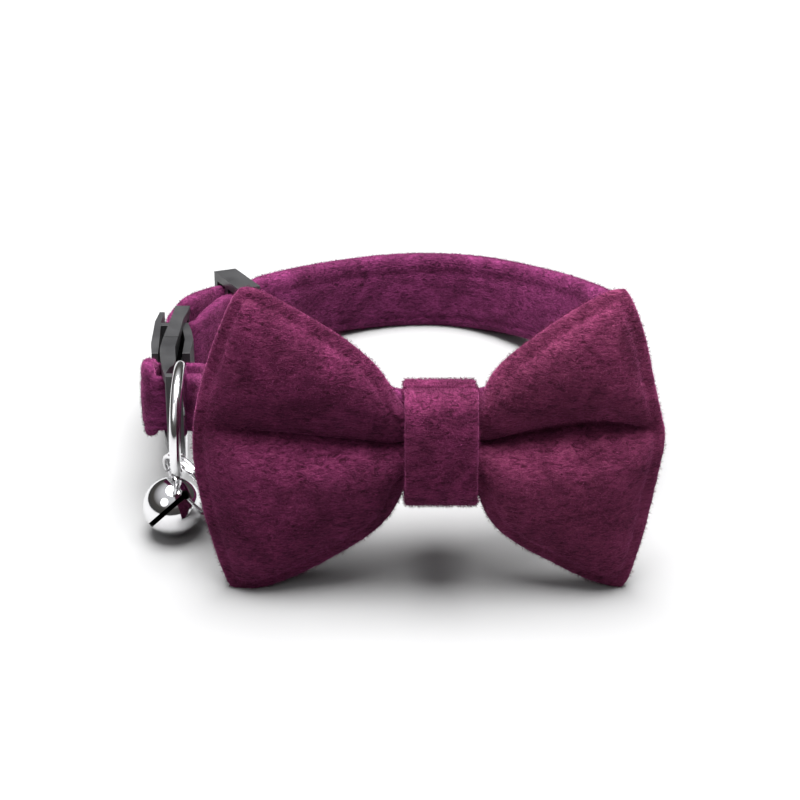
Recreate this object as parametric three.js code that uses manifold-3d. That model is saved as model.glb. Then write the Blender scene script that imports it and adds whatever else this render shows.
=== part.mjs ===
// A buckled cat collar with a padded bow tie, standing on the two lower tips of the bow
// and on the back of its strap. Millimetres, +Z up, the bow faces -Y, +X is to its right.
import * as THREE from 'three';
import { mergeVertices } from 'three/addons/utils/BufferGeometryUtils.js';
import Module from 'manifold-3d';

const wasm = await Module();
wasm.setup();

// ---- driving sizes ----
const LEAN_DEG = 12; // the loop's front is raised by the bow, so the whole collar leans back
const REAR_FLOOR = 0.62; // the back's lower edge reaches this far below the floor and is pressed flat
const STRAP_TALL = 15;
const MID = STRAP_TALL / 2; // the strap's centre height in the loop's own plane
const LOOP_STEPS = 3; // rings between two stations of the strap
const EDGE_POINTS = 5; // points round each rolled edge of the strap

const BUCKLE = { low: 0.3, high: 14.7, rail: 1.7, shellLow: 1.1, shellHigh: 13.3 };
const SLIDER = { u: -31.5, v: 13.9, turnDeg: 26, length: 13.4, thick: 4.6, low: -1.8, high: 16.8 };
const SLIDER_BAR = 1.6;
const SLIDER_SLOT = 4.3;
const RING_WIRE = 0.9; // across each of the split ring's two coils
const D_WIRE = 2.0;
const BELL = { radius: 5.3, wall: 0.45, slot: 0.7, slotDeg: 63, hole: 1.7, pellet: 1.6 };
const BOW = { u: 7.8, v: -51.7 }; // middle of the bow's waist
const KNOT = { wide: 12.4, wall: 1.3, around: 44 };

// ---- colours ----
function finish(colour, roughness, metalness) {
  return new THREE.MeshStandardMaterial({ color: colour, roughness, metalness });
}
const velvet = finish(0x6e2350, 0.9, 0);
const velvetDark = finish(0x5f1d45, 0.9, 0);
const blackPlastic = finish(0x1d1d20, 0.45, 0);
const chrome = finish(0xd5d5d8, 0.12, 1);

// ---- solids ----
function solidOf(geometry) {
  const bare = geometry.clone();
  bare.deleteAttribute('normal');
  bare.deleteAttribute('uv');
  const merged = mergeVertices(bare, 1e-4);
  return new wasm.Manifold(new wasm.Mesh({
    numProp: 3,
    vertProperties: new Float32Array(merged.attributes.position.array),
    triVerts: new Uint32Array(merged.index.array),
  }));
}

function geometryOf(solid) {
  const mesh = solid.getMesh();
  const geometry = new THREE.BufferGeometry();
  geometry.setAttribute('position', new THREE.BufferAttribute(mesh.vertProperties, 3));
  geometry.setIndex(new THREE.BufferAttribute(mesh.triVerts, 1));
  geometry.computeVertexNormals();
  return geometry;
}

function joined(solids) {
  return solids.reduce((whole, next) => whole.add(next));
}

// A box from its low and high corners.
function block(low, high) {
  const box = new THREE.BoxGeometry(high[0] - low[0], high[1] - low[1], high[2] - low[2]);
  box.translate((low[0] + high[0]) / 2, (low[1] + high[1]) / 2, (low[2] + high[2]) / 2);
  return solidOf(box);
}

// A flat outline in the loop's plane, raised from one height to another.
function plate(outline, low, high) {
  const shape = new THREE.Shape(outline.map(([u, v]) => new THREE.Vector2(u, v)));
  const geometry = new THREE.ExtrudeGeometry(shape, { depth: high - low, bevelEnabled: false });
  geometry.translate(0, 0, low);
  return solidOf(geometry);
}

// A closed skin through a list of rings that all have the same number of points.
function loft(rings) {
  const count = rings[0].length;
  const positions = [];
  const faces = [];
  rings.forEach((ring) => ring.forEach((p) => positions.push(p.x, p.y, p.z)));
  for (let i = 0; i + 1 < rings.length; i += 1) {
    for (let j = 0; j < count; j += 1) {
      const a = i * count + j;
      const b = i * count + ((j + 1) % count);
      faces.push(a, b, b + count, a, b + count, a + count);
    }
  }
  const last = (rings.length - 1) * count;
  for (let j = 1; j + 1 < count; j += 1) {
    faces.push(0, j + 1, j);
    faces.push(last, last + j, last + j + 1);
  }
  const geometry = new THREE.BufferGeometry();
  geometry.setAttribute('position', new THREE.Float32BufferAttribute(positions, 3));
  geometry.setIndex(faces);
  return geometry;
}

function rod(curve, radius, steps, sides) {
  const section = new THREE.Shape();
  section.absarc(0, 0, radius, 0, 2 * Math.PI);
  return new THREE.ExtrudeGeometry(section, { steps, curveSegments: sides, extrudePath: curve });
}

// ---- the leaning frame and the floor in it ----
const lean = THREE.MathUtils.degToRad(LEAN_DEG);
const leaning = new THREE.Group();
leaning.rotation.x = -lean;
const standing = new THREE.Group();
const collar = new THREE.Group();
collar.add(leaning, standing);

// The rearmost lower edge of the strap rests on the surface, and the loose metal lies in front.
const REAR = new THREE.Vector3(9.5, 38.8, 0);
leaning.position.copy(REAR.clone().applyEuler(leaning.rotation).negate());
leaning.position.z -= REAR_FLOOR;
leaning.updateMatrixWorld();
standing.position.set(-8.5, -92.2, 0);

function above(solid) {
  const size = 300;
  const ground = new THREE.BoxGeometry(size, size, 40);
  ground.translate(0, 0, -20);
  ground.applyMatrix4(leaning.matrixWorld.clone().invert());
  return solid.subtract(solidOf(ground));
}

function place(group, name, shape, material) {
  const geometry = shape.isBufferGeometry ? shape : geometryOf(shape);
  const mesh = new THREE.Mesh(geometry, material);
  mesh.name = name;
  group.add(mesh);
}

// ---- strap: u and v of its middle, how thick and how tall it is, how far its top leans out ----
const strapTable = [
  // u, v, thick, tall, leanDeg
  [-12, -35.3, 3.4, 13.4, 0], // end sewn behind the bow
  [-19, -35.6, 3.8, 14, 0],
  [-25.5, -34.7, 3.6, 13.4, 0],
  [-29.8, -31.6, 3.4, 12.2, 0],
  [-32.6, -27.4, 3.2, 10.8, 0],
  [-35.4, -24.6, 2.4, 10.2, 0],
  [-39.2, -24.4, 2.2, 10.2, 0], // through the inner slot
  [-42.9, -25.0, 2.3, 10.2, 0],
  [-43.9, -27.9, 3.0, 14.2, 0], // hump outside the bar
  [-42.9, -30.9, 2.3, 10.2, 0],
  [-39.2, -30.9, 2.6, 10.2, 0], // through the outer slot
  [-35.6, -30.9, 3.0, 10.8, 0],
  [-33.2, -33.2, 3.6, 12.4, 0],
  [-31.0, -37.0, 4.4, 14, 0],
  [-26.5, -40.0, 5.2, 14.8, 0],
  [-18, -41.1, 5.5, 15, 0],
  [-4, -41.2, 5.5, 15, 0],
  [1, -41.2, 5.2, 12.4, 0],
  [8, -41.2, 5.1, 12.2, 0], // drawn in by the knot
  [14.6, -41.0, 5.2, 12.4, 0],
  [20, -40.2, 5.5, 15, 0],
  [30.5, -35.2, 5.5, 15, 0],
  [38.5, -26, 5.5, 15, 0],
  [42.6, -14, 5.5, 15, 2],
  [43.5, -1, 5.5, 15, 5],
  [41.2, 11, 5.5, 15, 8],
  [34.8, 20.8, 5.5, 15, 10],
  [25.8, 29.4, 5.5, 15, 8],
  [17.6, 34.4, 5.5, 15.3, 3],
  [8.8, 36.6, 5.5, 15.4, 0], // rearmost
  [-1, 35.9, 5.5, 15.3, 0],
  [-10.5, 32.6, 5.5, 15, 0],
  [-19, 27.6, 5.5, 15, 0],
  [-26.6, 21.2, 5.2, 15, 0],
  [-29.4, 18.2, 3.4, 14.6, 0],
  [-32.8, 16.55, 3.3, 14.4, 0], // long layer through the slider
  [-36.2, 14.8, 3.4, 14.4, 0],
  [-40.6, 7.8, 4.0, 14.4, 0],
  [-43.3, 3.6, 2.1, 11, 0],
  [-43.4, 0.8, 2.0, 10.2, 0],
  [-42.5, -1.7, 2.2, 10.2, 0], // round the socket's bar
  [-39.6, -1.5, 2.3, 10.2, 0],
  [-38.0, 0.8, 2.4, 10.4, 0],
  [-36.6, 3.8, 3.0, 12, 0],
  [-33.6, 9.5, 3.3, 14, 0],
  [-30.2, 11.25, 3.3, 14.4, 0], // short layer through the slider
  [-27.6, 12.5, 3.0, 14.4, 0],
  [-26.2, 13.4, 2.6, 14.2, 0], // end just past the slider
];

function strapSection(centre, along, thick, tall, leanDeg) {
  const across = new THREE.Vector3(-along.y, along.x, 0).normalize(); // into the loop
  const up = new THREE.Vector3(0, 0, 1).applyAxisAngle(along, THREE.MathUtils.degToRad(leanDeg));
  across.applyAxisAngle(along, THREE.MathUtils.degToRad(leanDeg));
  const round = thick / 2;
  const straight = (tall - thick) / 2;
  const ring = [];
  for (let i = 0; i < 2 * EDGE_POINTS; i += 1) {
    const top = i < EDGE_POINTS;
    const angle = Math.PI * (top ? i : i - 1) / (EDGE_POINTS - 1);
    const point = centre.clone();
    point.addScaledVector(across, round * Math.cos(angle));
    point.addScaledVector(up, (top ? straight : -straight) + round * Math.sin(angle));
    ring.push(point);
  }
  return ring;
}

function makeStrap() {
  const route = new THREE.CatmullRomCurve3(
    strapTable.map(([u, v]) => new THREE.Vector3(u, v, MID)), false, 'centripetal');
  const sizes = new THREE.CatmullRomCurve3(
    strapTable.map(([, , thick, tall]) => new THREE.Vector3(thick, tall, 0)), false, 'catmullrom', 0.3);
  const leans = new THREE.CatmullRomCurve3(
    strapTable.map((row) => new THREE.Vector3(row[4], 0, 0)), false, 'catmullrom', 0.3);
  const steps = (strapTable.length - 1) * LOOP_STEPS;
  const rings = [];
  for (let i = 0; i <= steps; i += 1) {
    const t = i / steps;
    const size = sizes.getPoint(t);
    rings.push(strapSection(route.getPoint(t), route.getTangent(t), size.x, size.y, leans.getPoint(t).x));
  }
  return above(solidOf(loft(rings)));
}

// ---- buckle ----
function makeSocket() {
  const { low, high, rail, shellLow, shellHigh } = BUCKLE;
  const outerShell = [[-45.7, 3.2], [-45.9, -2.5], [-45.6, -9], [-45.0, -15.5], [-44.2, -20.9],
    [-43.0, -20.9], [-43.6, -14], [-44.2, -8], [-44.7, -2.5], [-44.7, 3.2]];
  const innerShell = [[-39.5, -3.2], [-38.4, -7.5], [-37.4, -13], [-37.2, -20.9],
    [-38.6, -20.9], [-39.0, -13], [-40.0, -7.5], [-40.9, -3.2]];
  const endWall = [[-45.0, -5.0], [-45.1, -3.3], [-39.4, -3.3], [-39.4, -5.0]];
  const spine = [[-45.0, -4.8], [-38.6, -4.8], [-38.6, -17], [-44.0, -17]];
  const railOutline = [[-42.5, 2.9], [-39.7, 2.9], [-39.7, 0.2], [-40.1, -5], [-39.9, -15.4],
    [-42.6, -15.4], [-42.7, -5]]; // covers the prongs
  const barOutline = [[-42.0, 0.9], [-42.0, 2.9], [-39.9, 2.9], [-39.9, 0.9]];
  const prongRoom = block([-43.0, -17.5, -1], [-40.2, -5.6, 16]);
  return joined([
    plate(outerShell, shellLow, shellHigh),
    plate(innerShell, shellLow, shellHigh),
    plate(endWall, shellLow, shellHigh),
    plate(spine, MID - 1, MID + 1).subtract(prongRoom),
    plate(railOutline, high - rail, high),
    plate(railOutline, low, low + rail),
    plate([[-42.4, -5.0], [-42.4, -3.3], [-40.5, -3.3], [-40.5, -5.0]], low, high),
    plate(barOutline, low, high),
  ]);
}

function makePlug() {
  const { low, high, rail } = BUCKLE;
  const side = [[-42.6, -15.8], [-42.5, -21.3], [-42.2, -24], [-41.6, -28], [-40.8, -32.5], [-39.6, -37.1],
    [-36.8, -37.1], [-37.4, -35.4], [-39.8, -35.3], [-39.5, -32.4], [-38.9, -31.0],
    [-38.9, -28], [-39.5, -24], [-39.8, -21.3], [-39.9, -15.8]]; // the D-ring's bar lies in the notch
  const prong = [[-42.3, -21.5], [-40.2, -21.5], [-40.3, -14], [-40.6, -6.2], [-42.5, -6.2], [-42.5, -14]];
  const shoulder = [[-42.4, -22.9], [-42.4, -21.3], [-39.8, -21.3], [-39.7, -22.9]];
  const strapBar = [[-41.4, -28.9], [-41.6, -26.4], [-39.4, -26.4], [-39.0, -28.9]];
  const endBar = [[-39.6, -37.1], [-40.0, -35.4], [-37.4, -35.4], [-36.8, -37.1]];
  const parts = [
    plate(shoulder, low, high),
    plate(strapBar, low, high),
    plate(endBar, low, high),
  ];
  [[low, low + rail], [high - rail, high]].forEach(([from, to]) => {
    parts.push(plate(side, from, to));
  });
  parts.push(plate(prong, high - rail - 2.4, high - rail - 0.4)); // under the socket's rails
  parts.push(plate(prong, low + rail + 0.4, low + rail + 2.4));
  return joined(parts);
}

function makeSlider() {
  const { length, thick, low, high } = SLIDER;
  let frame = block([-length / 2, -thick / 2, low], [length / 2, thick / 2, high]);
  [-1, 1].forEach((way) => {
    const middle = way * (SLIDER_SLOT + SLIDER_BAR) / 2;
    frame = frame.subtract(block(
      [middle - SLIDER_SLOT / 2, -thick, MID - 7.65],
      [middle + SLIDER_SLOT / 2, thick, MID + 7.65]));
  });
  const across = new THREE.Matrix4().makeRotationZ(THREE.MathUtils.degToRad(SLIDER.turnDeg - 90));
  across.setPosition(SLIDER.u, SLIDER.v, 0);
  const geometry = geometryOf(frame);
  geometry.applyMatrix4(across);
  return solidOf(geometry);
}

// ---- metal ----
const dRing = {
  top: new THREE.Vector3(-37.2, -33.9, 16.0),
  bottom: new THREE.Vector3(-37.9, -33.7, -3.2),
  straight: 2.8,
  joint: 0.3,
};

class DPath extends THREE.Curve {
  getPoint(t, target = new THREE.Vector3()) {
    const middle = dRing.top.clone().add(dRing.bottom).divideScalar(2);
    const half = dRing.top.clone().sub(dRing.bottom).divideScalar(2);
    const radius = half.length();
    const out = new THREE.Vector3(0.02, -1, 0).normalize();
    const corner = 1.6;
    const flat = radius - corner;
    const lengths = [flat, corner * Math.PI / 2, dRing.straight - corner, radius * Math.PI,
      dRing.straight - corner, corner * Math.PI / 2, flat];
    const whole = lengths.reduce((a, b) => a + b);
    let at = dRing.joint / 2 + t * (whole - dRing.joint);
    let part = 0;
    while (part < 6 && at > lengths[part]) {
      at -= lengths[part];
      part += 1;
    }
    const share = at / lengths[part];
    const flatPlaces = [
      () => [0, -share * flat],
      () => [corner * (1 - Math.cos(share * Math.PI / 2)), -flat - corner * Math.sin(share * Math.PI / 2)],
      () => [corner + at, -radius],
      () => [dRing.straight + radius * Math.sin(share * Math.PI), -radius * Math.cos(share * Math.PI)],
      () => [dRing.straight - at, radius],
      () => [corner * (1 - Math.sin(share * Math.PI / 2)), flat + corner * Math.cos(share * Math.PI / 2)],
      () => [0, flat * (1 - share)],
    ];
    const [x, y] = flatPlaces[part]();
    return target.copy(middle).addScaledVector(out, x).addScaledVector(half, y / radius);
  }
}

const bell = {
  centre: new THREE.Vector3(-40.52, 16.21, 5.33),
  mouth: new THREE.Vector3(-0.242, -0.925, 0.295).normalize(),
  slitSide: new THREE.Vector3(-0.757, -0.357, -0.552),
};

function makeBell() {
  const { radius, wall, slot, slotDeg, hole } = BELL;
  const outer = new THREE.SphereGeometry(radius, 24, 16);
  const inner = new THREE.SphereGeometry(radius - wall, 24, 16);
  let shell = solidOf(outer).subtract(solidOf(inner));
  // the slit runs along X across the mouth, which is at +Z here
  const reach = radius * Math.sin(THREE.MathUtils.degToRad(slotDeg));
  const depth = radius * Math.cos(THREE.MathUtils.degToRad(slotDeg));
  shell = shell.subtract(block([-reach, -slot / 2, depth], [reach, slot / 2, radius + 1]));
  [-1, 1].forEach((way) => {
    const drill = new THREE.CylinderGeometry(hole / 2, hole / 2, 3, 12);
    drill.rotateZ(Math.PI / 2);
    drill.translate(radius - 0.5, 0, 0);
    drill.rotateY(way > 0 ? -Math.PI / 2 + THREE.MathUtils.degToRad(slotDeg)
      : -Math.PI / 2 - THREE.MathUtils.degToRad(slotDeg));
    shell = shell.subtract(solidOf(drill));
  });
  const shank = new THREE.TorusGeometry(1.8, 0.4, 8, 16);
  shank.rotateX(Math.PI / 2);
  shank.translate(0, 0, -radius - 1.5);
  const geometry = geometryOf(shell.add(solidOf(shank)));
  geometry.applyMatrix4(bellMatrix());
  return geometry;
}

function makePellet() {
  const ball = new THREE.SphereGeometry(BELL.pellet, 12, 8);
  const drop = BELL.radius - BELL.wall - BELL.pellet - 0.3;
  ball.translate(bell.centre.x, bell.centre.y, bell.centre.z - drop);
  return solidOf(ball);
}

// Turns +Z to the mouth's direction, with +X along the slit.
function bellMatrix() {
  const z = bell.mouth;
  const x = bell.slitSide.clone().addScaledVector(z, -bell.slitSide.dot(z)).normalize();
  const y = z.clone().cross(x);
  const matrix = new THREE.Matrix4().makeBasis(x, y, z);
  matrix.setPosition(bell.centre);
  return matrix;
}

const splitRing = {
  centre: new THREE.Vector3(-37.38, 18.75, 8.35),
  normal: new THREE.Vector3(0.716, 0.639, 0.283).normalize(),
  radius: 6.48,
};

function makeSplitRing() {
  const ring = new THREE.TorusGeometry(splitRing.radius, RING_WIRE / 2, 10, 40);
  ring.scale(1, 1, 2);
  const turn = new THREE.Quaternion().setFromUnitVectors(new THREE.Vector3(0, 0, 1), splitRing.normal);
  ring.applyQuaternion(turn);
  ring.translate(...splitRing.centre);
  return solidOf(ring);
}

// ---- bow: reach from the knot, its top, bottom, fold line and thickness ----
const bowTable = [
  // u, top, bottom, fold, thick, dip
  [-33.9, 9.4, 6.4, 8, 1.6, 0],
  [-33.0, 16.0, -1.6, 9, 5.6, 0.1],
  [-31.4, 21.4, -8.6, 11, 8.6, 0.2],
  [-29.4, 26.8, -15.4, 12, 10.4, 0.35],
  [-27.0, 32.0, -19.6, 12, 11.6, 0.4],
  [-24.4, 35.4, -19.2, 11.6, 12.6, 0.45],
  [-20.0, 34.0, -17.6, 11.2, 13.8, 0.5],
  [-14.0, 30.4, -14.8, 10.6, 14.6, 0.55],
  [-8.0, 26.6, -11.2, 10, 14.6, 0.6],
  [-3.0, 22.0, -7.4, 9.4, 13.8, 0.6],
  [0.2, 17.8, -3.8, 9, 12.4, 0.5],
  [1.2, 14.6, 1.4, 8.6, 10.2, 0.3],
  [7.8, 14.4, 1.8, 8.6, 10.0, 0.2],
  [14.4, 14.6, 1.4, 8.6, 10.2, 0.3],
  [15.4, 19.4, -4.6, 9.4, 12.4, 0.5],
  [18.4, 22.8, -8.2, 10, 13.8, 0.6],
  [23.4, 27.4, -12.0, 10.4, 14.6, 0.6],
  [29.0, 31.2, -15.0, 11.2, 14.4, 0.6],
  [34.0, 34.2, -17.4, 11.2, 13.4, 0.55],
  [37.6, 35.2, -19.4, 11, 12.2, 0.5],
  [40.0, 30.4, -19.0, 11, 11.2, 0.45],
  [42.2, 22.6, -10.2, 11, 9.6, 0.35],
  [44.2, 15.0, -0.4, 11, 6.2, 0.2],
  [45.3, 11.2, 8.4, 10, 1.6, 0],
];
const BOW_AROUND = 24;
const FOLD_WIDE = 3.4;

function makeBow() {
  const rings = bowTable.map(([u, top, bottom, fold, thick, dip]) => {
    const middle = (top + bottom) / 2;
    const half = (top - bottom) / 2;
    const ring = [];
    for (let j = 0; j < BOW_AROUND; j += 1) {
      const angle = 2 * Math.PI * j / BOW_AROUND;
      const w = middle + half * Math.sin(angle);
      const full = Math.sign(Math.cos(angle)) * Math.abs(Math.cos(angle)) ** 0.7;
      const crease = 1 - dip * Math.exp(-(((w - fold) / FOLD_WIDE) ** 2));
      const front = full < 0;
      ring.push(new THREE.Vector3(u, BOW.v + thick / 2 * full * (front ? crease : 1), w));
    }
    return ring;
  });
  return above(solidOf(loft(rings)));
}

// The band goes round the bow's waist and the strap: its outline in v and w.
const knotOutline = [
  [-58.5, 13.8], [-57.5, 16.8], [-54.6, 18.3], [-50.8, 17.8], [-46.4, 16.1], [-42.4, 15.4], [-38.8, 14.9],
  [-36.9, 13.2], [-36.6, 7.5], [-36.9, 1.8], [-38.8, -0.1], [-42.4, -0.6], [-46.4, -1.3],
  [-50.8, -1.9], [-54.6, -1.7], [-57.7, 0.2], [-58.7, 3.8], [-58.9, 9],
];

// The outline drawn inwards by some distance, as a bar across the knot's width.
function knotBar(inwards, wide) {
  const band = new THREE.CatmullRomCurve3(
    knotOutline.map(([v, w]) => new THREE.Vector3(v, w, 0)), true, 'centripetal');
  const rim = band.getPoints(KNOT.around).slice(0, -1);
  const outline = rim.map((p, i) => {
    const before = rim[(i + rim.length - 1) % rim.length];
    const along = rim[(i + 1) % rim.length].clone().sub(before).normalize();
    return new THREE.Vector2(p.x + along.y * inwards, p.y - along.x * inwards);
  });
  const geometry = new THREE.ExtrudeGeometry(new THREE.Shape(outline), { depth: wide, bevelEnabled: false });
  geometry.translate(0, 0, -wide / 2);
  // the sketch's x is the loop's v and its y is the height
  geometry.applyMatrix4(new THREE.Matrix4().makeBasis(
    new THREE.Vector3(0, 1, 0), new THREE.Vector3(0, 0, 1), new THREE.Vector3(1, 0, 0)));
  geometry.translate(BOW.u, 0, 0);
  return solidOf(geometry);
}

function makeKnot() {
  return knotBar(0, KNOT.wide).subtract(knotBar(KNOT.wall, KNOT.wide + 2));
}

// ---- assembly ----
place(leaning, 'strap', makeStrap(), velvet);
place(leaning, 'slider', makeSlider(), blackPlastic);
place(leaning, 'buckle_female', makeSocket(), blackPlastic);
place(leaning, 'buckle_male', makePlug(), blackPlastic);
place(leaning, 'd_ring', rod(new DPath(), D_WIRE / 2, 64, 5), chrome);
place(leaning, 'bow', makeBow(), velvet);
place(leaning, 'bow_knot', makeKnot(), velvetDark);
place(standing, 'split_ring', makeSplitRing(), chrome);
place(standing, 'bell', makeBell(), chrome);
place(standing, 'bell_pellet', makePellet(), chrome);

// The origin is under the middle of the whole collar, on the surface that it stands on.
const bounds = new THREE.Box3().setFromObject(collar, true);
const middle = bounds.getCenter(new THREE.Vector3());
collar.position.set(-middle.x, -middle.y, -bounds.min.z);

export default collar;
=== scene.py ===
"""A padded velvet bow tie collar for a cat, with its black plastic hardware, rings and bell.

Shapes are worked out in millimetres in the collar's own axes: u to the right, v to the back and
w up across the strap. The collar leans back, and onto_collar() places each finished mesh.
"""
import math

import bmesh
import bpy
from mathutils import Matrix, Vector, noise


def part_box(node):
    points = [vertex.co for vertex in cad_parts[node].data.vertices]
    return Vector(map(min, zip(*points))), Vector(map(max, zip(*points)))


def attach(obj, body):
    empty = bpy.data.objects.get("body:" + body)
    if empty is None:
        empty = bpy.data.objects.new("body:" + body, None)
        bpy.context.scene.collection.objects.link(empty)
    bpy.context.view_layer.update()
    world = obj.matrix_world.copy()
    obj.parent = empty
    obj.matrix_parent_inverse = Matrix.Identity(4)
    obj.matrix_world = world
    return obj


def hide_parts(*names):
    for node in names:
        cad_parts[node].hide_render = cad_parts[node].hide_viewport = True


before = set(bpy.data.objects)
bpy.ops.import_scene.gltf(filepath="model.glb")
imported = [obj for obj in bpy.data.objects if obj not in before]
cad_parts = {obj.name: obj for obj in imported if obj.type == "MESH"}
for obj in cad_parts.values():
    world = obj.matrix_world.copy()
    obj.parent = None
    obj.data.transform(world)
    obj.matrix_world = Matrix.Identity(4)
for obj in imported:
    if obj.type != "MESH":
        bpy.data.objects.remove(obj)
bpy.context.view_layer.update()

# ---- the collar's own axes ----
MM = 0.001
LEAN = math.radians(12)
SLIDER_MIDDLE = Vector((-31.5, 13.9, 7.5))  # of the slider, in the collar's axes


def middle_of(node):
    low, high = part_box(node)
    return (low + high) / 2


COLLAR = (Matrix.Translation(middle_of("slider")) @ Matrix.Rotation(-LEAN, 4, "X")
          @ Matrix.Scale(MM, 4) @ Matrix.Translation(-SLIDER_MIDDLE))

# ---- sizes in millimetres ----
STRAP_TALL = 15
STRAP_THICK = 5.5
MID = STRAP_TALL / 2
BOW_V = -51.4  # the plane of the bow's seam
WING_SLAB = 7.0  # thickness of a wing before it is filled
KNOT_WIDE = 12.4
KNOT_THICK = 1.3
KNOT_MIDDLE_U = 7.8
D_WIRE = 2.0
COIL_WIRE = 0.9
LOWEST = 0.00002  # in metres: what would reach below the surface is pressed flat just above it


# ---- materials ----
def new_material(name):
    material = bpy.data.materials.new(name)
    material.use_nodes = True
    nodes = material.node_tree.nodes
    return material, nodes, material.node_tree.links, nodes["Principled BSDF"]


def with_inputs(node, **values):
    """The node with some sockets set; an underscore stands for a space in a socket's name."""
    for socket, value in values.items():
        node.inputs[socket.replace("_", " ")].default_value = value
    return node


def grey(value):
    return (value, value, value)


def object_coordinates(nodes, links, scale=(1, 1, 1), turn=(0, 0, 0)):
    where = nodes.new("ShaderNodeTexCoord")
    mapping = with_inputs(nodes.new("ShaderNodeMapping"), Scale=scale, Rotation=turn)
    links.new(where.outputs["Object"], mapping.inputs["Vector"])
    return mapping.outputs["Vector"]


def noise_node(nodes, links, vector, scale, detail=3, roughness=0.5, distortion=0):
    node = with_inputs(nodes.new("ShaderNodeTexNoise"), Scale=scale, Detail=detail,
                       Roughness=roughness, Distortion=distortion)
    links.new(vector, node.inputs["Vector"])
    return node.outputs["Fac"]


def ramp_node(nodes, links, factor, stops):
    node = nodes.new("ShaderNodeValToRGB")
    ramp = node.color_ramp
    while len(ramp.elements) < len(stops):
        ramp.elements.new(0.5)
    for element, (place, colour) in zip(ramp.elements, stops):
        element.position = place
        element.color = (*colour, 1)
    links.new(factor, node.inputs["Fac"])
    return node.outputs["Color"]


def multiplied(nodes, links, first, second):
    node = nodes.new("ShaderNodeMix")
    node.data_type = "RGBA"
    node.blend_type = "MULTIPLY"
    share, first_colour, second_colour = (node.inputs[index] for index in (0, 6, 7))
    share.default_value = 1
    links.new(first, first_colour)
    links.new(second, second_colour)
    return node.outputs[2]


def bump_node(nodes, links, height, strength, distance, under=None):
    node = with_inputs(nodes.new("ShaderNodeBump"), Strength=strength, Distance=distance)
    links.new(height, node.inputs["Height"])
    if under:
        links.new(under, node.inputs["Normal"])
    return node.outputs["Normal"]


def velvet(name, deep, lit, dusty):
    """Short pile plush: clumps of nap that lie different ways and catch more or less light."""
    material, nodes, links, shader = new_material(name)
    where = object_coordinates(nodes, links)
    brushed = object_coordinates(nodes, links, scale=(0.6, 0.8, 1.8), turn=(0, 0.6, 0))
    swirls = noise_node(nodes, links, where, 120, detail=3, distortion=1.2)
    tufts = noise_node(nodes, links, brushed, 1000, detail=4, roughness=0.6, distortion=1.5)
    fibres = noise_node(nodes, links, brushed, 4200, detail=2)
    body = ramp_node(nodes, links, tufts, [(0.32, deep), (0.52, lit), (0.75, dusty)])
    parted = ramp_node(nodes, links, swirls, [(0.35, (0.62, 0.60, 0.60)), (0.65, grey(1.15))])
    napped = multiplied(nodes, links, body, parted)
    # Painted highlight: the brightest fibre speckles are lifted to nearly twice the base colour,
    # standing in for fibre tips catching the light
    glinting_tips = ramp_node(nodes, links, fibres,
                     [(0.35, grey(0.78)), (0.62, grey(1.05)), (0.8, (1.8, 2.1, 1.9))])
    links.new(multiplied(nodes, links, napped, glinting_tips), shader.inputs["Base Color"])
    with_inputs(shader, Roughness=0.95, Specular_IOR_Level=0.06, Sheen_Weight=0.42,
                Sheen_Roughness=0.38, Sheen_Tint=(0.85, 0.20, 0.50, 1))
    coarse = bump_node(nodes, links, tufts, 0.7, 0.0004)
    fine = bump_node(nodes, links, fibres, 0.6, 0.0001, under=coarse)
    links.new(fine, shader.inputs["Normal"])
    return material


def black_plastic():
    material, nodes, links, shader = new_material("satin_black_plastic")
    where = object_coordinates(nodes, links)
    grain = noise_node(nodes, links, where, 2600, detail=3, roughness=0.6)
    wear = noise_node(nodes, links, where, 160, detail=4)
    colour = ramp_node(nodes, links, wear,
                       [(0.35, (0.010, 0.010, 0.011)), (0.7, (0.020, 0.020, 0.021))])
    gloss = ramp_node(nodes, links, wear, [(0.3, grey(0.34)), (0.7, grey(0.5))])
    links.new(colour, shader.inputs["Base Color"])
    links.new(gloss, shader.inputs["Roughness"])
    links.new(bump_node(nodes, links, grain, 0.25, 0.00004), shader.inputs["Normal"])
    return material


def bright_metal(name, roughness):
    material, nodes, links, shader = new_material(name)
    where = object_coordinates(nodes, links)
    smears = noise_node(nodes, links, where, 300, detail=5, roughness=0.6)
    drawn = object_coordinates(nodes, links, scale=(1, 1, 9))
    scratches = noise_node(nodes, links, drawn, 1500, detail=2)
    gloss = ramp_node(nodes, links, smears,
                      [(0.35, grey(roughness)), (0.75, grey(roughness * 2.2))])
    colour = ramp_node(nodes, links, smears,
                       [(0.3, (0.78, 0.78, 0.79)), (0.7, (0.88, 0.88, 0.89))])
    links.new(colour, shader.inputs["Base Color"])
    links.new(gloss, shader.inputs["Roughness"])
    with_inputs(shader, Metallic=1)
    links.new(bump_node(nodes, links, scratches, 0.06, 0.00003), shader.inputs["Normal"])
    return material


def tarnished_and_shaded_metal():
    """The inside of the bell, which is never polished: dull tarnish, and painted shade too, kept
    nearly black so that the slot, the holes and the pellet read dark.
    """
    material, nodes, links, shader = new_material("tarnished_and_shaded_metal")
    where = object_coordinates(nodes, links)
    stains = noise_node(nodes, links, where, 500, detail=4)
    # Painted shade: these near-black colours stand partly for dull tarnish and partly for the shade
    # inside the bell
    colour = ramp_node(nodes, links, stains, [(0.3, grey(0.004)), (0.7, (0.02, 0.018, 0.017))])
    gloss = ramp_node(nodes, links, stains, [(0.3, grey(0.6)), (0.7, grey(0.8))])
    links.new(colour, shader.inputs["Base Color"])
    links.new(gloss, shader.inputs["Roughness"])
    with_inputs(shader, Specular_IOR_Level=0.1)
    return material


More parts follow.
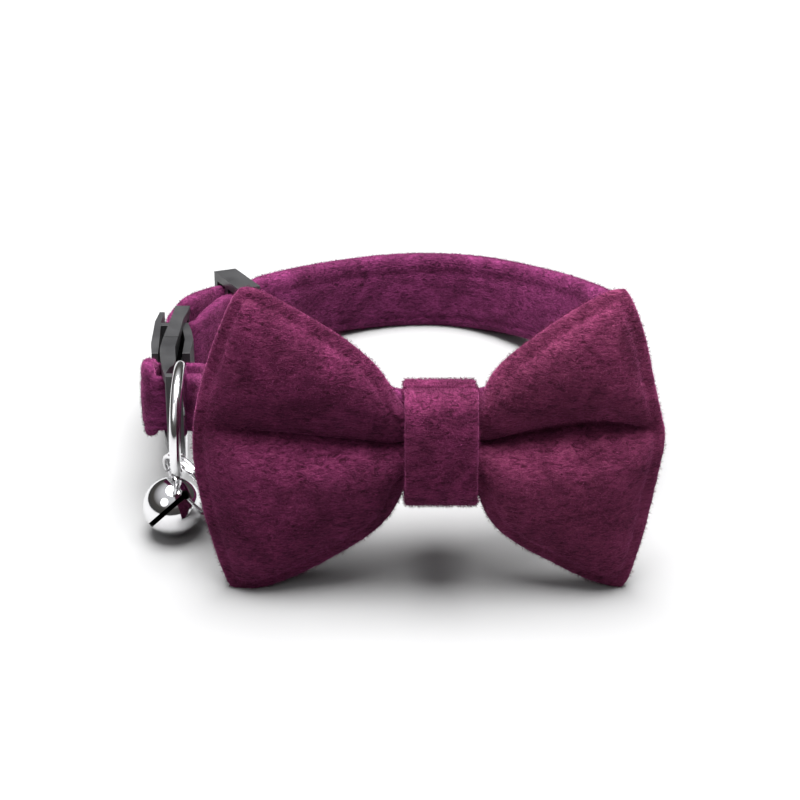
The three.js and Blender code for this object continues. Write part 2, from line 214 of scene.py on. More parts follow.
BOW_VELVET = velvet(
    "bow_velvet", (0.030, 0.0042, 0.013), (0.100, 0.0145, 0.050), (0.150, 0.029, 0.074))
# The right wing's copy of the bow velvet is lighter and browner: partly its own dustier tone,
# partly painted light standing in for the brighter light on that side
DUSTY_AND_LIT_VELVET = velvet(
    "dusty_and_lit_bow_velvet", (0.044, 0.0068, 0.019), (0.128, 0.021, 0.060), (0.175, 0.039, 0.082))
STRAP_VELVET = velvet(
    "strap_velvet", (0.030, 0.0042, 0.017), (0.100, 0.015, 0.058), (0.165, 0.029, 0.098))
KNOT_VELVET = velvet(
    "knot_velvet", (0.030, 0.0042, 0.013), (0.104, 0.0150, 0.052), (0.155, 0.030, 0.076))
PLASTIC = black_plastic()
WIRE_METAL = bright_metal("bright_wire", 0.10)
BELL_METAL = bright_metal("bell_metal", 0.05)
BELL_INSIDE = tarnished_and_shaded_metal()


# ---- making pieces ----
def add_object(name, mesh, material):
    piece = bpy.data.objects.new(name, mesh)
    bpy.context.scene.collection.objects.link(piece)
    mesh.materials.clear()
    mesh.materials.append(material)
    return piece


def mesh_from(bm, name):
    mesh = bpy.data.meshes.new(name)
    bm.to_mesh(mesh)
    bm.free()
    return mesh


def stands_for(piece, node):
    """The piece takes the place of its CAD node on the collar's only body."""
    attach(piece, "root")
    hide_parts(node)


def above_surface(mesh):
    for vert in mesh.vertices:
        vert.co.z = max(vert.co.z, LOWEST)


def onto_collar(name, mesh, material, node, place=COLLAR):
    """Puts a mesh made in millimetres where it belongs, for good."""
    mesh.transform(place)
    above_surface(mesh)
    mesh.shade_smooth()
    piece = add_object(name, mesh, material)
    stands_for(piece, node)
    return piece


def applied(piece):
    """The piece's mesh with its modifiers applied."""
    bpy.context.view_layer.update()
    shown = piece.evaluated_get(bpy.context.evaluated_depsgraph_get())
    mesh = bpy.data.meshes.new_from_object(shown)
    bpy.data.objects.remove(piece)
    return mesh


def refined(mesh, levels):
    """The mesh after some levels of subdivision."""
    piece = add_object("refining", mesh, PLASTIC)
    smooth = piece.modifiers.new("smooth", "SUBSURF")
    smooth.levels = smooth.render_levels = levels
    return applied(piece)


def smooth_rows(rows, spacing, closed=False):
    """A table with smooth rows put in, about so far apart along its first two columns."""
    count = len(rows)
    out = []
    last = count if closed else count - 1
    for i in range(last):
        before, here, after, beyond = (
            rows[(i + k) % count] if closed else rows[min(max(i + k, 0), count - 1)]
            for k in (-1, 0, 1, 2))
        gaps = [max(math.dist(a[:2], b[:2]), 1e-6)
                for a, b in ((before, here), (here, after), (after, beyond))]
        steps = max(1, round(gaps[1] / spacing))
        for step in range(steps):
            t = step / steps
            row = []
            for a, b, c, d in zip(before, here, after, beyond):
                enter = (c - a) / (gaps[0] + gaps[1]) * gaps[1]
                leave = (d - b) / (gaps[1] + gaps[2]) * gaps[1]
                row.append((2 * t ** 3 - 3 * t ** 2 + 1) * b + (t ** 3 - 2 * t ** 2 + t) * enter
                           + (3 * t ** 2 - 2 * t ** 3) * c + (t ** 3 - t ** 2) * leave)
            out.append(row)
    if not closed:
        out.append(list(rows[-1]))
    return out


def section_frame(point, along, up, wide=1, tall=1):
    """The matrix that stands a section (x across, y up) at a point of a path."""
    across = along.cross(up).normalized()
    level = across.cross(along).normalized()
    turn = Matrix((across * wide, level * tall, along)).transposed().to_4x4()
    return Matrix.Translation(point) @ turn


def sweep(section, frames, closed=False):
    """Extrudes a closed section through a list of frames; the ends are capped, or meet."""
    bm = bmesh.new()
    corners = [bm.verts.new((x, y, 0)) for x, y in section]
    edges = [bm.edges.new((a, b)) for a, b in zip(corners, corners[1:] + corners[:1])]
    bmesh.ops.transform(bm, matrix=frames[0], verts=corners)
    first = list(edges)
    for before, after in zip(frames, frames[1:]):
        made = bmesh.ops.extrude_edge_only(bm, edges=edges)["geom"]
        corners = [g for g in made if isinstance(g, bmesh.types.BMVert)]
        edges = [g for g in made if isinstance(g, bmesh.types.BMEdge)]
        bmesh.ops.transform(bm, matrix=after @ before.inverted(), verts=corners)
        ring = set(corners)
        edges = [edge for edge in edges if all(vert in ring for vert in edge.verts)]
    if closed:
        bmesh.ops.bridge_loops(bm, edges=first + edges)
    else:
        bmesh.ops.contextual_create(bm, geom=first)
        bmesh.ops.contextual_create(bm, geom=edges)
    bmesh.ops.recalc_face_normals(bm, faces=bm.faces)
    return bm


def circle(radius, sides):
    angles = [2 * math.pi * i / sides for i in range(sides)]
    return [(radius * math.cos(a), radius * math.sin(a)) for a in angles]


def tufted(bm, height, scale, seed):
    """Moves each point of velvet out or in a little, so that its outline is uneven."""
    bm.normal_update()
    for vert in bm.verts:
        rough = noise.noise(vert.co * scale + Vector((seed, 0, 0)))
        rough += 0.6 * noise.noise(vert.co * scale * 2.3 + Vector((0, seed, 0)))
        vert.co += vert.normal * rough * height


FIBRE_WIDE = 0.07


def pile_nodes(per_mm2, length, seed):
    """Sets a three-sided blade upright at many points of a mesh, each leaning its own way."""
    group = bpy.data.node_groups.new("pile", "GeometryNodeTree")
    for way in ("INPUT", "OUTPUT"):
        group.interface.new_socket("Geometry", in_out=way, socket_type="NodeSocketGeometry")
    nodes, links = group.nodes, group.links
    roots = with_inputs(nodes.new("GeometryNodeDistributePointsOnFaces"),
                        Density=per_mm2 * 1e6, Seed=seed)
    links.new(nodes.new("NodeGroupInput").outputs[0], roots.inputs["Mesh"])
    blade = with_inputs(nodes.new("GeometryNodeMeshCircle"), Vertices=3, Radius=1)
    blade.fill_type = "NGON"
    stand = with_inputs(nodes.new("GeometryNodeTransform"),
                        Translation=(0, 0, length * MM / 3), Rotation=(math.radians(90), 0, 0),
                        Scale=(FIBRE_WIDE / 2 * MM, length * MM * 2 / 3, 1))
    links.new(blade.outputs["Mesh"], stand.inputs["Geometry"])
    lean = nodes.new("FunctionNodeRandomValue")
    lean.data_type = "FLOAT_VECTOR"
    with_inputs(lean, Min=(-1.0, -1.0, 0), Max=(1.0, 1.0, 6.28), Seed=seed + 1)
    turned = nodes.new("FunctionNodeRotateRotation")
    turned.rotation_space = "LOCAL"
    links.new(roots.outputs["Rotation"], turned.inputs["Rotation"])
    links.new(lean.outputs["Value"], turned.inputs["Rotate By"])
    grown = nodes.new("FunctionNodeRandomValue")
    grown.data_type = "FLOAT"
    shortest, longest = grown.inputs[2], grown.inputs[3]
    shortest.default_value = 0.5
    longest.default_value = 1.2
    with_inputs(grown, Seed=seed + 2)
    planted = nodes.new("GeometryNodeInstanceOnPoints")
    links.new(roots.outputs["Points"], planted.inputs["Points"])
    links.new(stand.outputs["Geometry"], planted.inputs["Instance"])
    links.new(turned.outputs["Rotation"], planted.inputs["Rotation"])
    links.new(grown.outputs[1], planted.inputs["Scale"])
    real = nodes.new("GeometryNodeRealizeInstances")
    links.new(planted.outputs["Instances"], real.inputs["Geometry"])
    links.new(real.outputs["Geometry"], nodes.new("NodeGroupOutput").inputs[0])
    return group


def pile(name, piece, node, per_mm2, length, seed):
    """Fine fibres all over a velvet piece, in the piece's own material."""
    bpy.context.view_layer.update()
    cover = bpy.data.objects.new(name, piece.data.copy())
    bpy.context.scene.collection.objects.link(cover)
    cover.modifiers.new("pile", "NODES").node_group = pile_nodes(per_mm2, length, seed)
    mesh = applied(cover)
    above_surface(mesh)
    stands_for(add_object(name, mesh, piece.data.materials[0]), node)


# ---- bow wings ----
# Each wing's seam, as three edges in u and w, and the pleat along its front, whose third column is
# how far back it is held.
LEFT_WING = {
    "top": [(6.0, 13.9), (2.2, 14.0), (1.0, 15.4), (-0.5, 18.2), (-2.4, 21.2), (-4.8, 23.9),
            (-8.8, 27.2), (-15.2, 31.4), (-21.0, 34.7), (-23.4, 35.6), (-25.0, 35.2)],
    "outer": [(-25.0, 35.2), (-26.4, 33.4), (-28.4, 29.0), (-30.6, 23.4), (-32.5, 17.0),
              (-33.5, 12.0), (-33.8, 6.0), (-32.8, -2.2), (-31.4, -8.8), (-29.6, -15.2),
              (-28.4, -18.4), (-27.2, -19.5)],
    "bottom": [(6.0, 2.6), (2.4, 2.0), (1.0, -1.4), (-0.8, -5.0), (-4.1, -8.6), (-9.3, -12.2),
               (-16.2, -16.2), (-23.1, -18.9), (-27.2, -19.5)],
    "pleat": [(6.0, 8.0, 3.6), (1.8, 8.1, 3.8), (-10.6, 9.4, 3.7), (-22.0, 10.7, 3.0),
              (-29.0, 11.5, 1.6), (-33.5, 12.0, 0.0)]}
RIGHT_WING = {
    "top": [(9.6, 13.9), (13.4, 14.0), (14.3, 15.2), (15.0, 17.6), (16.2, 20.4), (18.4, 23.1),
            (22.2, 26.4), (27.0, 30.1), (31.8, 33.2), (35.0, 35.0), (37.4, 35.2)],
    "outer": [(37.4, 35.2), (38.6, 33.6), (41.2, 26.8), (43.0, 19.4), (44.6, 13.0),
              (45.2, 10.8), (45.3, 8.0), (44.0, -0.4), (42.7, -7.8), (41.3, -13.5),
              (40.2, -17.4), (39.0, -18.8)],
    "bottom": [(9.6, 2.6), (13.0, 2.0), (14.4, -1.4), (15.8, -5.0), (18.0, -8.0), (21.5, -10.8),
               (26.7, -13.8), (31.1, -16.2), (35.4, -18.0), (39.0, -18.8)],
    "pleat": [(9.6, 8.2, 3.6), (14.0, 8.4, 4.0), (24.1, 9.8, 5.0), (32.0, 10.9, 5.4),
              (40.0, 11.2, 3.8), (45.2, 10.8, 0.0)]}
PLEAT_END = 5  # the point of each outer edge that the pleat runs out to
WING_ROWS = 46  # cells from the knot to the outer edge
LOBE_ROWS = 28  # cells across each lobe
RISE_ROWS = 7  # cells over which a wing rises from its seam before it is filled
SLOPE_ABOVE, SLOPE_BELOW = 2.6, 0.8  # how gently each lobe turns into the pleat
FILLING_STEPS = 20
PRESSURE = 5
SWELL_MOST = 7
CLOTH_SCALE = 0.01  # the filling is worked out at ten times the real size, where Cloth is steady
EASINGS = 10


def evenly(rows, count):
    """The smooth line through some rows, as count + 1 rows evenly apart."""
    line = smooth_rows(rows, 0.25)
    reach = [0]
    for a, b in zip(line, line[1:]):
        reach.append(reach[-1] + math.dist(a[:2], b[:2]))
    out = []
    at = 0
    for i in range(count + 1):
        want = reach[-1] * i / count
        while at < len(line) - 2 and reach[at + 1] < want:
            at += 1
        share = (want - reach[at]) / max(reach[at + 1] - reach[at], 1e-9)
        out.append([a + (b - a) * share for a, b in zip(line[at], line[at + 1])])
    return out


def lobe_patch(low, high, inner, outer):
    """A surface between four edges: place(i, j) is a point in u and w."""
    def place(i, j):
        s, t = i / WING_ROWS, j / LOBE_ROWS
        return [(1 - t) * low[i][k] + t * high[i][k] + (1 - s) * inner[j][k] + s * outer[j][k]
                - (1 - s) * (1 - t) * low[0][k] - s * (1 - t) * low[-1][k]
                - (1 - s) * t * high[0][k] - s * t * high[-1][k] for k in (0, 1)]
    return place


def wing_cut(wing):
    """The wing's front and back, sewn together round the seam, and which points are held."""
    top = evenly(wing["top"], WING_ROWS)
    bottom = evenly(wing["bottom"], WING_ROWS)
    pleat = evenly(wing["pleat"], WING_ROWS)
    outer_high = evenly(wing["outer"][:PLEAT_END + 1], LOBE_ROWS)[::-1]
    outer_low = evenly(wing["outer"][PLEAT_END:], LOBE_ROWS)[::-1]
    inner_high = evenly([pleat[0][:2], top[0]], LOBE_ROWS)
    inner_low = evenly([bottom[0], pleat[0][:2]], LOBE_ROWS)
    upper = lobe_patch(pleat, top, inner_high, outer_high)
    lower = lobe_patch(bottom, pleat, inner_low, outer_low)
    bm = bmesh.new()
    held = bm.verts.layers.float.new("held")
    from_seam = bm.verts.layers.float.new("from_seam")
    for side in (-1, 1):
        made = bmesh.ops.create_grid(bm, x_segments=WING_ROWS, y_segments=2 * LOBE_ROWS, size=0.5)
        for vert in made["verts"]:
            i = round((vert.co.x + 0.5) * WING_ROWS)
            j = round((vert.co.y + 0.5) * 2 * LOBE_ROWS)
            u, w = upper(i, j - LOBE_ROWS) if j >= LOBE_ROWS else lower(i, j)
            fold_w, back = pleat[i][1:]
            rim = min(i, WING_ROWS - i, j, 2 * LOBE_ROWS - j)
            swell = WING_SLAB / 2 * min(rim / RISE_ROWS, 1) ** 0.6
            v = BOW_V + side * swell
            if side < 0 and rim > 0:
                slope = SLOPE_ABOVE if w > fold_w else SLOPE_BELOW
                v += min(back, 2 * swell - 0.5) * math.exp(-abs(w - fold_w) / slope)
            vert.co = (u, v, w)
            in_knot = abs(u - KNOT_MIDDLE_U) < KNOT_WIDE / 2 - 0.2
            on_pleat = side < 0 and j == LOBE_ROWS
            vert[held] = 1 if rim == 0 or in_knot or on_pleat else 0
            vert[from_seam] = min(min(math.dist((u, w), point[:2]) for point in edge)
                                  for edge in (top, bottom, outer_high, outer_low))
    bmesh.ops.remove_doubles(bm, verts=bm.verts, dist=0.02)
    bmesh.ops.recalc_face_normals(bm, faces=bm.faces)
    return mesh_from(bm, "wing_cut")


def filled_wing(wing):
    """Blows the wing up between its seam, its pleat and the knot, as filling does."""
    mesh = wing_cut(wing)
    start = [vert.co.copy() for vert in mesh.vertices]
    mesh.transform(Matrix.Scale(CLOTH_SCALE, 4))
    piece = add_object("filling", mesh, PLASTIC)
    group = piece.vertex_groups.new(name="held")
    for index, value in enumerate(mesh.attributes["held"].data):
        if value.value > 0.5:
            group.add([index], 1, "REPLACE")
    cloth = piece.modifiers.new("cloth", "CLOTH")
    settings = cloth.settings
    settings.quality = 8
    settings.mass = 0.3
    settings.tension_stiffness = settings.compression_stiffness = 14
    settings.shear_stiffness = 5
    settings.bending_stiffness = 1.0
    settings.use_pressure = True
    settings.uniform_pressure_force = PRESSURE
    settings.shrink_min = -0.02
    settings.vertex_group_mass = "held"
    settings.effector_weights.gravity = 0
    cloth.point_cache.frame_start = 1
    cloth.point_cache.frame_end = FILLING_STEPS
    for moment in range(1, FILLING_STEPS + 1):
        bpy.context.scene.frame_set(moment)
    mesh = applied(piece)
    bpy.context.scene.frame_set(1)
    mesh.transform(Matrix.Scale(1 / CLOTH_SCALE, 4))
    for vert, origin in zip(mesh.vertices, start):
        moved = vert.co - origin
        if moved.length > SWELL_MOST:
            vert.co = origin + moved * (SWELL_MOST / moved.length)
    return mesh


def overhang(bm, pleat):
    """Closes the two lobes over the pleat, the upper one hanging a little over the lower one."""
    for vert in bm.verts:
        place = along_pleat(pleat, vert.co.x)
        if not place or vert.co.y > BOW_V:
            continue
        fold, back = place
        share = min(back / 5, 1)
        above = vert.co.z - fold
        if above > 0:
            vert.co.z -= 0.6 * share * math.exp(-above / 2.2)
            vert.co.y -= 0.2 * share * math.exp(-((above - 1.4) / 2.0) ** 2)
        else:
            vert.co.z += 0.35 * share * math.exp(above / 1.2)


def along_pleat(pleat, u):
    """The pleat's height and depth at some distance along the wing."""
    for (u0, w0, back0), (u1, w1, back1) in zip(pleat, pleat[1:]):
        if min(u0, u1) <= u <= max(u0, u1):
            share = (u - u0) / (u1 - u0)
            return w0 + share * (w1 - w0), back0 + share * (back1 - back0)
    return None


def eased(bm):
    """Lets small puckers out of the cloth, and leaves the seam, the pleat and the waist alone."""
    held = bm.verts.layers.float["held"]
    free = [vert for vert in bm.verts if vert[held] < 0.5]
    for _ in range(EASINGS):
        bmesh.ops.smooth_vert(bm, verts=free, factor=0.5,
                              use_axis_x=True, use_axis_y=True, use_axis_z=True)


def seam_rolled(bm):
    """A line of stitches inside the seam draws the cloth in, and leaves a thin rolled edge."""
    from_seam = bm.verts.layers.float["from_seam"]
    bm.normal_update()
    for vert in bm.verts:
        away = vert[from_seam]
        rolled = 0.22 * math.exp(-(away / 0.7) ** 2)
        stitched = 0.34 * math.exp(-((away - 1.7) / 0.6) ** 2)
        vert.co += vert.normal * (rolled - stitched)


def make_wing(name, wing, material, seed):
    bm = bmesh.new()
    bm.from_mesh(filled_wing(wing))
    eased(bm)
    mesh = refined(mesh_from(bm, "eased"), 1)
    bm = bmesh.new()
    bm.from_mesh(mesh)
    overhang(bm, wing["pleat"])
    seam_rolled(bm)
    tufted(bm, 0.07, 1.1, seed)
    piece = onto_collar(name, mesh_from(bm, name), material, "bow")
    pile(name + "_pile", piece, "bow", 16, 0.75, seed)


# ---- knot ----
KNOT_BAND = [
    # v, w: the middle of the band's thickness
    (-57.9, 13.6), (-57.0, 16.3), (-54.6, 17.6), (-51.0, 17.1), (-46.5, 15.4), (-42.5, 14.7),
    (-39.0, 14.3), (-37.4, 13.0), (-37.3, 7.5), (-37.4, 2.0), (-39.0, 0.5), (-42.5, 0.0),
    (-46.5, -0.6), (-51.0, -1.2), (-54.6, -1.0), (-57.2, 0.6), (-58.1, 4.0), (-58.3, 9.0)]


def band_section(wide, thick):
    """The band's width with both edges turned in: a flat loop with round ends."""
    round_end = thick / 2
    flat = wide / 2 - round_end
    points = []
    for side in (1, -1):
        for i in range(9):
            angle = math.radians(-90 * side + 22.5 * i)
            points.append((side * flat + round_end * math.cos(angle), round_end * math.sin(angle)))
        for i in range(1, 12):
            points.append((side * flat * (1 - i / 6), side * round_end))
    return points


def make_knot():
    rows = smooth_rows(KNOT_BAND, 0.6, closed=True)
    frames = []
    for i, (v, w) in enumerate(rows):
        before, after = rows[i - 1], rows[(i + 1) % len(rows)]
        along = Vector((0, after[0] - before[0], after[1] - before[1])).normalized()
        outward = Vector((-1, 0, 0)).cross(along)
        narrowed = 1 - 0.03 * min(max((-v - 50) / 8, 0), 1)
        frames.append(section_frame(Vector((KNOT_MIDDLE_U, v, w)), along, outward, narrowed))
    bm = sweep(band_section(KNOT_WIDE, KNOT_THICK), frames, closed=True)
    tufted(bm, 0.08, 1.1, 5)
    piece = onto_collar("bow_knot_band", mesh_from(bm, "bow_knot_band"), KNOT_VELVET,
                        "bow_knot")
    pile("bow_knot_pile", piece, "bow_knot", 16, 0.75, 11)


# ---- strap ----
STRAP_ROUTE = [
    # u, v, thick, tall, lean in degrees
    (-12, -35.3, 3.4, 13.4, 0), (-19, -35.6, 3.8, 14, 0), (-25.5, -34.7, 3.6, 13.4, 0),
    (-29.8, -31.6, 3.4, 12.2, 0), (-32.6, -27.4, 3.2, 10.8, 0), (-35.4, -24.6, 2.4, 10.2, 0),
    (-39.2, -24.4, 2.2, 10.2, 0), (-42.6, -24.7, 2.2, 10.4, 0), (-43.4, -25.9, 2.7, 13.2, 0),
    (-43.9, -27.9, 3.1, 14.0, 0), (-43.4, -30.0, 2.7, 13.2, 0), (-42.5, -31.1, 2.2, 10.4, 0),
    (-39.2, -30.9, 2.6, 10.2, 0), (-35.6, -30.9, 3.0, 10.8, 0), (-33.2, -33.2, 3.6, 12.4, 0),
    (-31.0, -37.0, 4.4, 14, 0), (-26.5, -40.0, 5.2, 14.8, 0), (-18, -41.1, 5.5, 15, 0),
    (-4, -41.2, 5.5, 15, 0), (1, -41.2, 5.2, 12.4, 0), (8, -41.2, 5.1, 12.2, 0),
    (14.6, -41.0, 5.2, 12.4, 0), (20, -40.2, 5.5, 15, 0), (30.5, -35.2, 5.5, 15, 0),
    (38.5, -26, 5.5, 15, 0), (42.6, -14, 5.5, 15, 2), (43.5, -1, 5.5, 15, 5),
    (41.2, 11, 5.5, 15, 8), (34.8, 20.8, 5.5, 15, 10), (25.8, 29.4, 5.5, 15, 8),
    (17.6, 34.4, 5.5, 15.3, 3), (8.8, 36.6, 5.5, 15.4, 0), (-1, 35.9, 5.5, 15.3, 0),
    (-10.5, 32.6, 5.5, 15, 0), (-19, 27.6, 5.5, 15, 0), (-26.6, 21.2, 5.2, 15, 0),
    (-29.4, 18.2, 3.4, 14.6, 0), (-32.8, 16.55, 3.3, 14.4, 0), (-36.2, 14.8, 3.4, 14.4, 0),
    (-40.6, 7.8, 4.0, 14.4, 0), (-43.3, 3.6, 2.1, 11, 0), (-43.4, 0.8, 2.0, 10.2, 0),
    (-42.5, -1.7, 2.2, 10.2, 0), (-39.6, -1.5, 2.3, 10.2, 0), (-38.0, 0.8, 2.4, 10.4, 0),
    (-36.6, 3.8, 3.0, 12, 0), (-33.6, 9.5, 3.3, 14, 0), (-30.2, 11.25, 3.3, 14.4, 0),
    (-27.6, 12.5, 3.0, 14.4, 0), (-26.2, 13.4, 2.6, 14.2, 0)]


STRAP_SIDES = 72
PILE_ROOM = 0.2  # how much thinner the tube is made, so that its pile has room


def strap_section(thick, tall):
    """The velvet tube's outline: flat sides, and two seams as shallow grooves along each face."""
    half = thick / 2
    points = []
    for i in range(STRAP_SIDES):
        angle = 2 * math.pi * i / STRAP_SIDES
        across = half * math.copysign(abs(math.cos(angle)) ** 0.42, math.cos(angle))
        up = tall / 2 * math.copysign(abs(math.sin(angle)) ** 0.75, math.sin(angle))
        drawn_in = 0.10 * math.exp(-((up - tall * 0.28) / (tall * 0.05)) ** 2)
        drawn_in += 0.13 * math.exp(-((up + tall * 0.36) / (tall * 0.035)) ** 2)
        points.append((across * (1 - drawn_in), up))
    return points


def make_strap():
    rows = smooth_rows(STRAP_ROUTE, 0.7)
    frames = []
    for i, (u, v, thick, tall, lean) in enumerate(rows):
        before, after = rows[max(i - 1, 0)], rows[min(i + 1, len(rows) - 1)]
        along = Vector((after[0] - before[0], after[1] - before[1], 0)).normalized()
        up = Matrix.Rotation(math.radians(lean), 3, along) @ Vector((0, 0, 1))
        puckered = (1 + 0.05 * noise.noise(Vector((i * 0.16, 3, 0)))
                    + 0.03 * noise.noise(Vector((i * 0.43, 8, 0))))
        frames.append(section_frame(Vector((u, v, MID)), along, up,
                                    puckered * thick / STRAP_THICK, tall / STRAP_TALL))
    bm = sweep(strap_section(STRAP_THICK - PILE_ROOM, STRAP_TALL), frames)
    ends = [face for face in bm.faces if len(face.verts) == STRAP_SIDES]
    bmesh.ops.inset_region(bm, faces=ends, thickness=0.5, depth=0.4)
    tufted(bm, 0.06, 1.1, 9)
    piece = onto_collar("strap_velvet_tube", mesh_from(bm, "strap_velvet_tube"), STRAP_VELVET,
                        "strap")
    pile("strap_pile", piece, "strap", 10, 0.6, 21)


# ---- plastic hardware ----
def moulded(name, node, edge):
    """The moulded piece with its edges rounded as a mould rounds them."""
    bm = bmesh.new()
    bm.from_mesh(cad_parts[node].data)
    bmesh.ops.remove_doubles(bm, verts=bm.verts, dist=1e-6)
    bmesh.ops.dissolve_limit(bm, angle_limit=math.radians(3), verts=bm.verts, edges=bm.edges)
    piece = add_object(name, mesh_from(bm, name), PLASTIC)
    bevel = piece.modifiers.new("edges", "BEVEL")
    bevel.width = edge * MM
    bevel.segments = 3
    bevel.limit_method = "ANGLE"
    bevel.angle_limit = math.radians(28)
    bevel.harden_normals = True
    stands_for(piece, node)


# ---- rings and bell ----
D_TOP = Vector((-37.2, -33.9, 16.0))
D_BOTTOM = Vector((-37.9, -33.7, -3.2))
D_OUT = Vector((0.02, -1, 0)).normalized()
D_STRAIGHT = 2.8
D_CORNER = 1.6
D_JOINT = 0.3  # the gap between the wire's ends


def make_d_ring():
    """Wire bent into a D: a straight bar with the joint in it, two short arms and a half circle."""
    middle = (D_TOP + D_BOTTOM) / 2
    half = (D_TOP - D_BOTTOM) / 2
    radius = half.length
    up = half / radius
    flat = radius - D_CORNER
    points = [(0, D_JOINT / 2), (0, flat / 2), (0, flat)]
    points += [(D_CORNER * (1 - math.cos(a)), flat + D_CORNER * math.sin(a))
               for a in (math.radians(15 * i) for i in range(1, 7))]
    points += [(D_STRAIGHT + radius * math.sin(a), radius * math.cos(a))
               for a in (math.radians(6 * i) for i in range(0, 31))]
    points += [(D_CORNER * (1 - math.sin(a)), -flat - D_CORNER * math.cos(a))
               for a in (math.radians(15 * i) for i in range(0, 7))]
    points += [(0, -flat / 2), (0, -D_JOINT / 2)]
    path = [middle + D_OUT * x + up * y for x, y in points]
    side = D_OUT.cross(up)
    frames = []
    for before, here, after in zip(path[:1] + path, path, path[1:] + path[-1:]):
        frames.append(section_frame(here, (after - before).normalized(), side))
    bm = sweep(circle(D_WIRE / 2, 20), frames)
    onto_collar("d_ring_wire", mesh_from(bm, "d_ring_wire"), WIRE_METAL, "d_ring")


RING_NORMAL = Vector((0.716, 0.639, 0.283)).normalized()
RING_RADIUS = 6.48
RING_STEPS = 160


def make_split_ring():
    """Two coils of flattened wire that lie against each other, with one step between them."""
    turn = RING_NORMAL.to_track_quat("Z", "Y").to_matrix().to_4x4()
    place = Matrix.Translation(middle_of("split_ring")) @ turn @ Matrix.Scale(MM, 4)
    frames = []
    for i in range(RING_STEPS + 1):
        turned = 4 * math.pi * i / RING_STEPS
        step_over = min(max((turned - 1.75 * math.pi) / (0.5 * math.pi), 0), 1)
        height = 0.47 * COIL_WIRE * (2 * step_over * step_over * (3 - 2 * step_over) - 1)
        point = Vector((RING_RADIUS * math.cos(turned), RING_RADIUS * math.sin(turned), height))
        along = Vector((-math.sin(turned), math.cos(turned), 0))
        frames.append(section_frame(point, along, Vector((0, 0, 1))))
    bm = sweep(circle(COIL_WIRE / 2, 14), frames)
    onto_collar("split_ring_wire", mesh_from(bm, "split_ring_wire"), WIRE_METAL,
                "split_ring", place)


BELL_RADIUS = 5.3
BELL_WALL = 0.45
BELL_SLOT = 0.9
BELL_HOLE = 0.85
BELL_REACH = math.radians(63)  # from the middle of the mouth to each hole
SHANK_RADIUS = 1.8
SHANK_WIRE = 0.8
PELLET_RADIUS = 1.6
BELL_MOUTH = Vector((-0.242, -0.925, 0.295)).normalized()
BELL_SIDE = Vector((-0.757, -0.357, -0.552))


def bell_place():
    side = (BELL_SIDE - BELL_MOUTH * BELL_SIDE.dot(BELL_MOUTH)).normalized()
    turn = Matrix((side, BELL_MOUTH.cross(side), BELL_MOUTH)).transposed().to_4x4()
    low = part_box("bell")[0]
    centre = Vector((low.x + BELL_RADIUS * MM, low.y + BELL_RADIUS * MM, low.z + BELL_RADIUS * MM))
    return Matrix.Translation(centre) @ turn @ Matrix.Scale(MM, 4)


def make_bell():
    """A thin ball with a slot across its mouth, a round hole at each end and a shank behind."""
    bm = bmesh.new()
    bmesh.ops.create_icosphere(bm, subdivisions=6, radius=BELL_RADIUS)
    depth = BELL_RADIUS * math.cos(BELL_REACH)
    for place, across in (((0, BELL_SLOT / 2, 0), (0, 1, 0)), ((0, -BELL_SLOT / 2, 0), (0, 1, 0)),
                          ((0, 0, depth), (0, 0, 1))):  # the slot's two sides, and its ends
        bmesh.ops.bisect_plane(bm, geom=bm.verts[:] + bm.edges[:] + bm.faces[:], dist=1e-5,
                               plane_co=place, plane_no=across)
    ends = [Vector((way * math.sin(BELL_REACH), 0, math.cos(BELL_REACH))) * BELL_RADIUS
            for way in (-1, 1)]
    cut = []
    for face in bm.faces:
        middle = face.calc_center_median()
        in_slot = abs(middle.y) < BELL_SLOT / 2 and middle.z > depth
        if in_slot or min((middle - end).length for end in ends) < BELL_HOLE:
            cut.append(face)
    bmesh.ops.delete(bm, geom=cut, context="FACES")
    for vert in bm.verts:
        end = min(ends, key=lambda e: (vert.co - e).length)
        away = vert.co - end
        beside_slot = abs(vert.co.y) > BELL_SLOT / 2 + 0.01
        if vert.is_boundary and away.length < BELL_HOLE * 1.25 and beside_slot:
            vert.co = (end + away * (BELL_HOLE / away.length)).normalized() * BELL_RADIUS
    bmesh.ops.solidify(bm, geom=bm.faces[:], thickness=BELL_WALL)
    frames = []
    for x, z in circle(1, 32):
        point = Vector((SHANK_RADIUS * x, 0, SHANK_RADIUS * z - BELL_RADIUS - 1.5))
        frames.append(section_frame(point, Vector((-z, 0, x)), Vector((0, 1, 0))))
    bm.from_mesh(mesh_from(sweep(circle(SHANK_WIRE / 2, 12), frames, closed=True), "shank"))
    place = bell_place()
    bell = onto_collar("bell_shell", mesh_from(bm, "bell_shell"), BELL_METAL,
                       "bell", place)
    bell.data.materials.append(BELL_INSIDE)
    for face in bell.data.polygons:
        from_middle = (face.center - place.translation).length
        if from_middle < (BELL_RADIUS - 0.4 * BELL_WALL) * MM:
            face.material_index = 1
    bell.data.set_sharp_from_angle(angle=math.radians(40))


def make_pellet():
    """The small cast ball that rings the bell."""
    bm = bmesh.new()
    bmesh.ops.create_uvsphere(bm, u_segments=32, v_segments=20, radius=PELLET_RADIUS)
    tufted(bm, 0.03, 0.9, 4)
    place = Matrix.Translation(middle_of("bell_pellet")) @ Matrix.Scale(MM, 4)
    # The pellet takes the bell's near-black inside colour, which is partly painted shade
    onto_collar("pellet_ball", mesh_from(bm, "pellet_ball"), BELL_INSIDE,
                "bell_pellet", place)


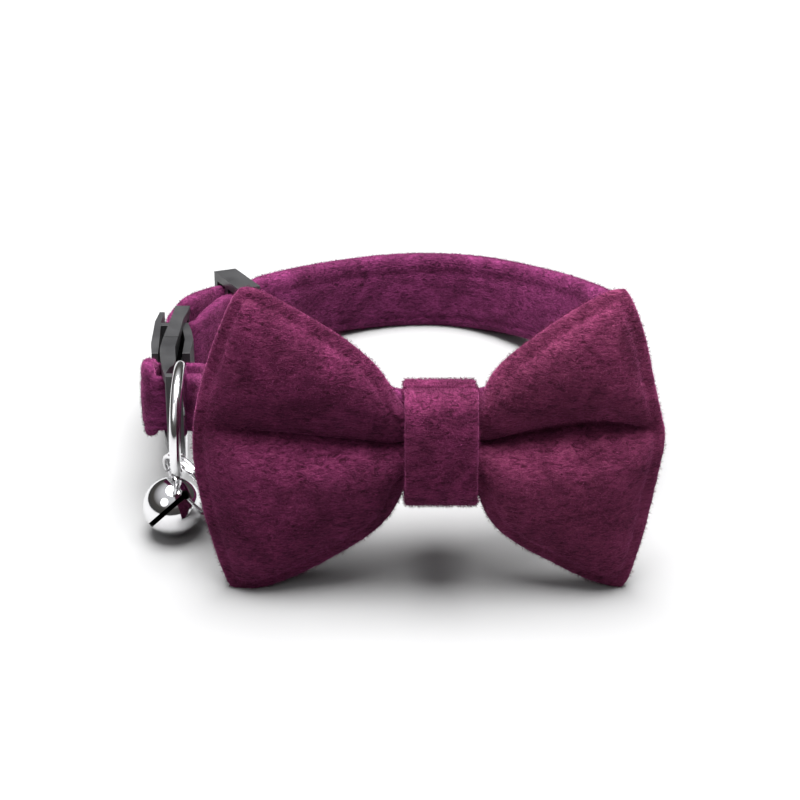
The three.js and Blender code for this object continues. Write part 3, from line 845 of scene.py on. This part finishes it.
# ---- studio ----
def make_floor():
    bm = bmesh.new()
    bmesh.ops.create_grid(bm, x_segments=1, y_segments=1, size=4)
    material, nodes, links, shader = new_material("pale_floor")
    where = object_coordinates(nodes, links)
    tone = noise_node(nodes, links, where, 3)
    colour = ramp_node(nodes, links, tone,
                       [(0.3, (0.235, 0.235, 0.236)), (0.7, (0.25, 0.25, 0.251))])
    links.new(colour, shader.inputs["Base Color"])
    with_inputs(shader, Roughness=1, Specular_IOR_Level=0)
    add_object("floor", mesh_from(bm, "floor"), material)


def area_light(name, place, target, size, power):
    light = bpy.data.lights.new(name, "AREA")
    light.shape = "DISK"
    light.size = size
    light.energy = power
    lamp = bpy.data.objects.new(name, light)
    lamp.location = place
    lamp.rotation_euler = (Vector(target) - Vector(place)).to_track_quat("-Z", "Y").to_euler()
    bpy.context.scene.collection.objects.link(lamp)


def make_studio():
    make_floor()
    area_light("top_light", (0.02, 0.10, 0.80), (0, 0.02, 0), 0.7, 33)
    area_light("front_light", (-0.40, -0.50, 0.60), (0, -0.03, 0.02), 0.45, 0.9)
    world = bpy.data.worlds.new("studio")
    bpy.context.scene.world = world
    world.use_nodes = True
    nodes, links = world.node_tree.nodes, world.node_tree.links
    sky = nodes["Background"]
    where = nodes.new("ShaderNodeTexCoord")
    parts = nodes.new("ShaderNodeSeparateXYZ")
    links.new(where.outputs["Generated"], parts.inputs["Vector"])
    shade = ramp_node(nodes, links, parts.outputs["Z"],
                      [(0.0, grey(0.05)), (0.4, (0.07, 0.065, 0.06)), (0.8, (0.6, 0.6, 0.62))])
    links.new(shade, sky.inputs["Color"])
    bpy.context.scene.view_settings.view_transform = "Standard"


def make_camera():
    """As far off and as high as the collar is looked at on a table, with a long lens."""
    lens = bpy.data.cameras.new("camera")
    lens.sensor_width = 36
    lens.lens = 81
    lens.clip_start = 0.01
    camera = bpy.data.objects.new("camera", lens)
    camera.location = (0.000626, -0.28867, 0.19555)
    camera.rotation_euler = (math.radians(57.084), 0, 0)
    bpy.context.scene.collection.objects.link(camera)
    bpy.context.scene.camera = camera


make_camera()
make_wing("bow_wing_left", LEFT_WING, BOW_VELVET, 1)
make_wing("bow_wing_right", RIGHT_WING, DUSTY_AND_LIT_VELVET, 2)
make_knot()
make_strap()
moulded("slider_moulded", "slider", 0.35)
moulded("buckle_socket_moulded", "buckle_female", 0.3)
moulded("buckle_plug_moulded", "buckle_male", 0.3)
make_d_ring()
make_split_ring()
make_bell()
make_pellet()
make_studio()
